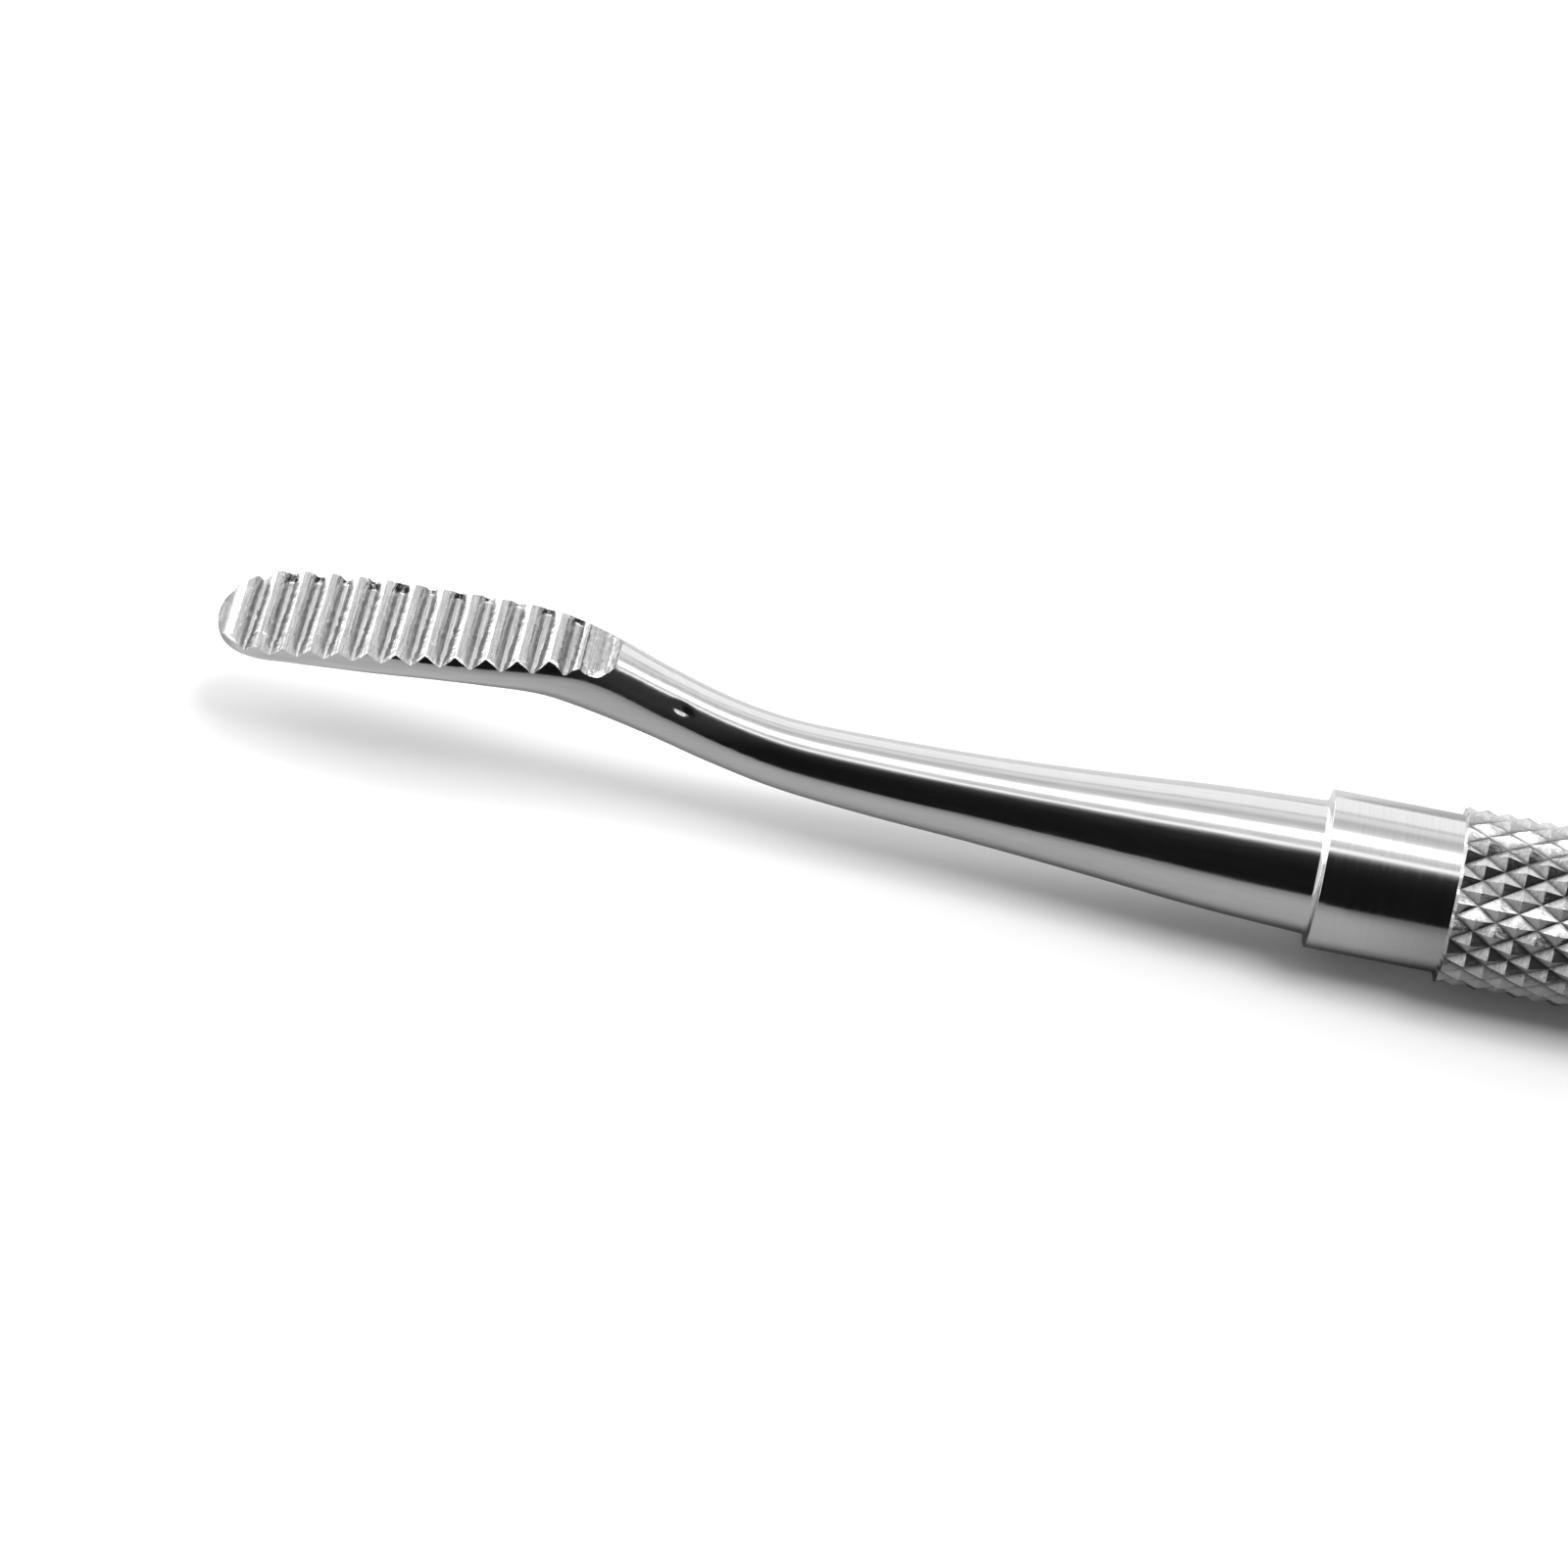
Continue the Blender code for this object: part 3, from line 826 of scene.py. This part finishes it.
def steel(name):
    """Stainless steel with drawn-out lines and finer specks, darker where shade is painted on the
    mesh.
    """
    finish = FINISHES[name]
    material = bpy.data.materials.new(name)
    material.use_nodes = True
    tree = material.node_tree
    shader = tree.nodes["Principled BSDF"]
    shader.inputs["Metallic"].default_value = 1.0
    place = tree.nodes.new("ShaderNodeTexCoord")
    stretch = tree.nodes.new("ShaderNodeMapping")
    stretch.inputs["Scale"].default_value = [1 / (size * MM) for size in finish["line_size"]]
    link(tree, place, "Object", stretch, "Vector")
    lines = noise_field(tree, (stretch, "Vector"), 1.0, LINE_DETAIL)
    specks = noise_field(tree, (place, "Object"), 1 / (finish["speck_size"] * MM), SPECK_DETAIL)

    tint = spread_noise(tree, lines, finish["colour"], finish["colour_spread"])
    # The painted shade from the mesh darkens the base colour
    painted_shade = tree.nodes.new("ShaderNodeAttribute")
    painted_shade.attribute_name = "painted_shade"
    unshaded = maths(tree, "SUBTRACT", 1.0, (painted_shade, "Fac"))
    tone, output = maths(tree, "MULTIPLY", (tint, "Result"), unshaded)
    link(tree, tone, output, shader, "Base Color")

    rough = spread_noise(tree, lines, finish["roughness"], finish["roughness_spread"])
    link(tree, rough, "Result", shader, "Roughness")

    line_relief = relief(tree, lines, finish["line_depth"])
    speck_relief = relief(tree, specks, finish["speck_depth"])
    link(tree, line_relief, "Normal", speck_relief, "Normal")
    link(tree, speck_relief, "Normal", shader, "Normal")
    return material


# Studio

# Light from each side, by the angle over the file in degrees: 0 is the front horizon, 90 is
# straight up and 180 is the back horizon
STUDIO = (
    (0, 0.008),
    (40, 0.009),
    (52, 0.013),
    (60, 0.02),
    (67, 0.035),
    (71, 0.10),
    (75.5, 0.40),
    (78.5, 1.40),
    (81.5, 1.40),
    (84, 0.68),
    (90, 0.80),
    (94, 0.96),
    (96.5, 2.60),
    (107, 2.60),
    (111, 1.00),
    (116, 0.76),
    (122, 0.66),
    (127, 0.62),
    (132, 0.92),
    (139, 0.96),
    (142, 0.76),
    (144, 0.78),
    (148, 1.14),
    (180, 1.16),
)
# The white card beyond the tip adds this, by the sideways part of the direction
TIP_CARD = (
    (-1.0, 0.95),
    (-0.55, 0.80),
    (-0.25, 0.0),
    (0.25, 0.0),
    (0.50, 0.03),
    (1.0, 0.03),
)
# The dark card low behind the grip leaves this share of the light, by the sideways part of
# the direction, and it is full at the second of its two angles over the file
GRIP_CARD = (
    (-1.0, 1.0),
    (0.50, 1.0),
    (0.66, 0.12),
    (1.0, 0.06),
)
GRIP_CARD_ANGLES = (132, 152)
# The share of the studio's light that falls on the floor
FLOOR_SHARE = 0.74


def background(tree):
    node = tree.nodes.new("ShaderNodeBackground")
    node.inputs["Color"].default_value = (1.0, 1.0, 1.0, 1.0)
    node.inputs["Strength"].default_value = 1.0
    return node


def build_world():
    """White to the camera, and to everything else a studio of light and dark strips."""
    world = bpy.data.worlds.new("studio")
    bpy.context.scene.world = world
    world.use_nodes = True
    tree = world.node_tree
    tree.nodes.clear()
    output = tree.nodes.new("ShaderNodeOutputWorld")
    place = tree.nodes.new("ShaderNodeTexCoord")
    parts = tree.nodes.new("ShaderNodeSeparateXYZ")
    link(tree, place, "Generated", parts, "Vector")
    front = maths(tree, "MULTIPLY", (parts, "Y"), -1.0)
    angle = maths(tree, "ARCTAN2", (parts, "Z"), front)
    degrees = maths(tree, "DEGREES", angle)
    across = (parts, "X")
    low_behind = tree.nodes.new("ShaderNodeMapRange")
    low_behind.inputs["From Min"].default_value = GRIP_CARD_ANGLES[0]
    low_behind.inputs["From Max"].default_value = GRIP_CARD_ANGLES[1]
    link(tree, *degrees, low_behind, "Value")
    dark = maths(tree, "SUBTRACT", level_at(tree, across, GRIP_CARD), 1.0)
    dark = maths(tree, "MULTIPLY_ADD", dark, (low_behind, "Result"), 1.0)
    path = tree.nodes.new("ShaderNodeLightPath")
    off_floor = maths(tree, "MINIMUM", (path, "Diffuse Depth"), 1.0)
    share = maths(tree, "MULTIPLY_ADD", off_floor, FLOOR_SHARE - 1.0, 1.0)
    level = maths(tree, "MULTIPLY", level_at(tree, degrees, STUDIO), dark)
    level = maths(tree, "ADD", level, level_at(tree, across, TIP_CARD))
    level = maths(tree, "MULTIPLY", level, share)
    studio = background(tree)
    link(tree, *level, studio, "Strength")
    choose = tree.nodes.new("ShaderNodeMixShader")
    link(tree, path, "Is Camera Ray", choose, "Fac")
    link(tree, studio, "Background", choose, 1)
    link(tree, background(tree), "Background", choose, 2)
    link(tree, choose, "Shader", output, "Surface")


# The soft lamps over the floor: how far in front of straight up they stand, or behind it
# where that is negative, how far to the right and how wide they are, in degrees, and how
# strong they are
LAMPS = (
    (2, 16, 28, 1.25),
    (-50, 16, 43, 1.0),
)


def build_lamps():
    """They light the floor and throw the shadow; the steel mirrors the studio alone."""
    for lean, side, width, strength in LAMPS:
        data = bpy.data.lights.new("lamp", "SUN")
        data.energy = strength
        data.angle = math.radians(width)
        lamp = bpy.data.objects.new("lamp", data)
        bpy.context.scene.collection.objects.link(lamp)
        lamp.rotation_euler = (math.radians(lean), math.radians(side), 0.0)
        lamp.visible_glossy = False


# Floor

FLOOR_HALF_SIZE = 1500.0
# The floor as the steel mirrors it, by the distance behind the file's axis: painted shade, darker
# in front and in a narrow strip just behind the axis
FLOOR_SHADES = (
    (-300, 0.02),
    (-90, 0.19),
    (-38, 0.25),
    (-22, 0.315),
    (-13, 0.36),
    (-9, 0.395),
    (-6, 0.43),
    (-4, 0.44),
    (-2.8, 0.39),
    (1.5, 0.36),
    (2.4, 0.13),
    (4.0, 0.13),
    (5.5, 0.62),
)
# The share of that which is left beside the grip, by the distance along the file: a painted
# shadow of the grip on the floor that the steel mirrors
GRIP_PAINTED_SHADOW = (
    (-38, 1.0),
    (-33, 0.62),
    (33, 0.62),
    (38, 1.0),
)
# Painted light: the floor beyond the tip is paler as the steel mirrors it, and adds this, by the
# distance along the file
TIP_FLOOR_PAINTED_LIGHT = (
    (-120, 0.70),
    (-110, 0.70),
    (-98, 0.13),
    (-86, 0.10),
    (-80, 0.06),
    (-73, 0.0),
)
# The floor's own faint light, and the share of its shade that lights other things: painted shade,
# turned down so that the floor's shadows stay dark
FLOOR_FILL = 0.02
BOUNCE_SHARE = 0.25


def floor_material():
    """White to the camera, and in the steel a pale floor with painted light and shade, darker in
    front.
    """
    material = bpy.data.materials.new("floor")
    material.use_nodes = True
    tree = material.node_tree
    tree.nodes.clear()
    output = tree.nodes.new("ShaderNodeOutputMaterial")
    diffuse = tree.nodes.new("ShaderNodeBsdfDiffuse")
    glow = tree.nodes.new("ShaderNodeEmission")
    together = tree.nodes.new("ShaderNodeAddShader")
    path = tree.nodes.new("ShaderNodeLightPath")
    place = tree.nodes.new("ShaderNodeTexCoord")
    parts = tree.nodes.new("ShaderNodeSeparateXYZ")
    link(tree, place, "Object", parts, "Vector")
    along = maths(tree, "DIVIDE", (parts, "X"), MM)
    behind = maths(tree, "DIVIDE", (parts, "Y"), MM)
    # Painted shade and painted light on the floor, which only the steel's reflections show
    shade = level_at(tree, behind, FLOOR_SHADES)
    # Painted shadow beside the grip
    shade = maths(tree, "MULTIPLY", shade, level_at(tree, along, GRIP_PAINTED_SHADOW))
    # Painted light on the floor beyond the tip
    shade = maths(tree, "ADD", shade, level_at(tree, along, TIP_FLOOR_PAINTED_LIGHT))
    # Painted shade: the floor's colour is turned down for light bounced off it, so its shadow
    # stays darker
    bounced = maths(tree, "MINIMUM", (path, "Diffuse Depth"), 1.0)
    bounced = maths(tree, "MULTIPLY_ADD", bounced, BOUNCE_SHARE - 1.0, 1.0)
    shade = maths(tree, "MULTIPLY", shade, bounced)
    white = maths(tree, "MAXIMUM", (path, "Is Camera Ray"), shade)
    link(tree, *white, diffuse, "Color")
    fill = maths(tree, "MULTIPLY", white, FLOOR_FILL)
    link(tree, *fill, glow, "Strength")
    link(tree, diffuse, "BSDF", together, 0)
    link(tree, glow, "Emission", together, 1)
    link(tree, together, "Shader", output, "Surface")
    return material


def build_floor():
    half = FLOOR_HALF_SIZE
    corners = [(-half, -half, 0), (half, -half, 0), (half, half, 0), (-half, half, 0)]
    floor = new_object("floor", corners, [(0, 1, 2, 3)], floor_material())


# Camera: where it looks in the file's own frame, with the near shoulder as the origin
CAMERA_TARGET = (-23.870, 0.0, -1.495)
CAMERA_AZIMUTH = math.radians(1.788)
CAMERA_ELEVATION = math.radians(49.994)
CAMERA_ROLL = math.radians(9.838)
CAMERA_DISTANCE = 249.9
CAMERA_LENS = 129.2
CAMERA_SENSOR = 36.0
# The nearest and farthest things that it shows, in metres
CAMERA_CLIP = (0.01, 10.0)


def build_camera(rest):
    back = Vector((
        math.sin(CAMERA_AZIMUTH) * math.cos(CAMERA_ELEVATION),
        -math.cos(CAMERA_AZIMUTH) * math.cos(CAMERA_ELEVATION),
        math.sin(CAMERA_ELEVATION),
    ))
    level = Vector((math.cos(CAMERA_AZIMUTH), math.sin(CAMERA_AZIMUTH), 0.0))
    upright = back.cross(level)
    right = level * math.cos(CAMERA_ROLL) + upright * math.sin(CAMERA_ROLL)
    up = upright * math.cos(CAMERA_ROLL) - level * math.sin(CAMERA_ROLL)
    turn = Matrix((right, up, back)).transposed().to_4x4()
    target = Vector(CAMERA_TARGET) - Vector((SHOULDER, 0.0, 0.0))
    place = (target + back * CAMERA_DISTANCE) * MM
    data = bpy.data.cameras.new("camera")
    data.lens = CAMERA_LENS
    data.sensor_width = CAMERA_SENSOR
    data.clip_start, data.clip_end = CAMERA_CLIP
    camera = bpy.data.objects.new("camera", data)
    bpy.context.scene.collection.objects.link(camera)
    camera.matrix_world = rest @ Matrix.Translation(place) @ turn
    bpy.context.scene.camera = camera


def add_piece(item, place):
    item.data.transform(place)
    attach(item, "root")
    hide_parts(NODE)


def main():
    scene = bpy.context.scene
    scene.view_settings.view_transform = "Standard"
    rest = rest_matrix()
    build_camera(rest)
    build_world()
    build_lamps()
    build_floor()

    near_end = working_end(steel("polished_shank"), steel("filed_teeth"))
    far_end = bpy.data.objects.new("far_end", near_end.data.copy())
    scene.collection.objects.link(far_end)
    nick_shank(near_end.data)
    grip = build_grip(steel("turned_collar"), steel("knurled_grip"))

    shoulder = SHOULDER * MM
    half_turn = Euler((0.0, 0.0, math.pi)).to_matrix().to_4x4()
    rolled = Euler((math.pi, 0.0, 0.0)).to_matrix().to_4x4()
    add_piece(near_end, rest @ Matrix.Translation((-shoulder, 0, 0)) @ half_turn)
    add_piece(far_end, rest @ Matrix.Translation((shoulder, 0, 0)) @ rolled)
    add_piece(grip, rest)


main()
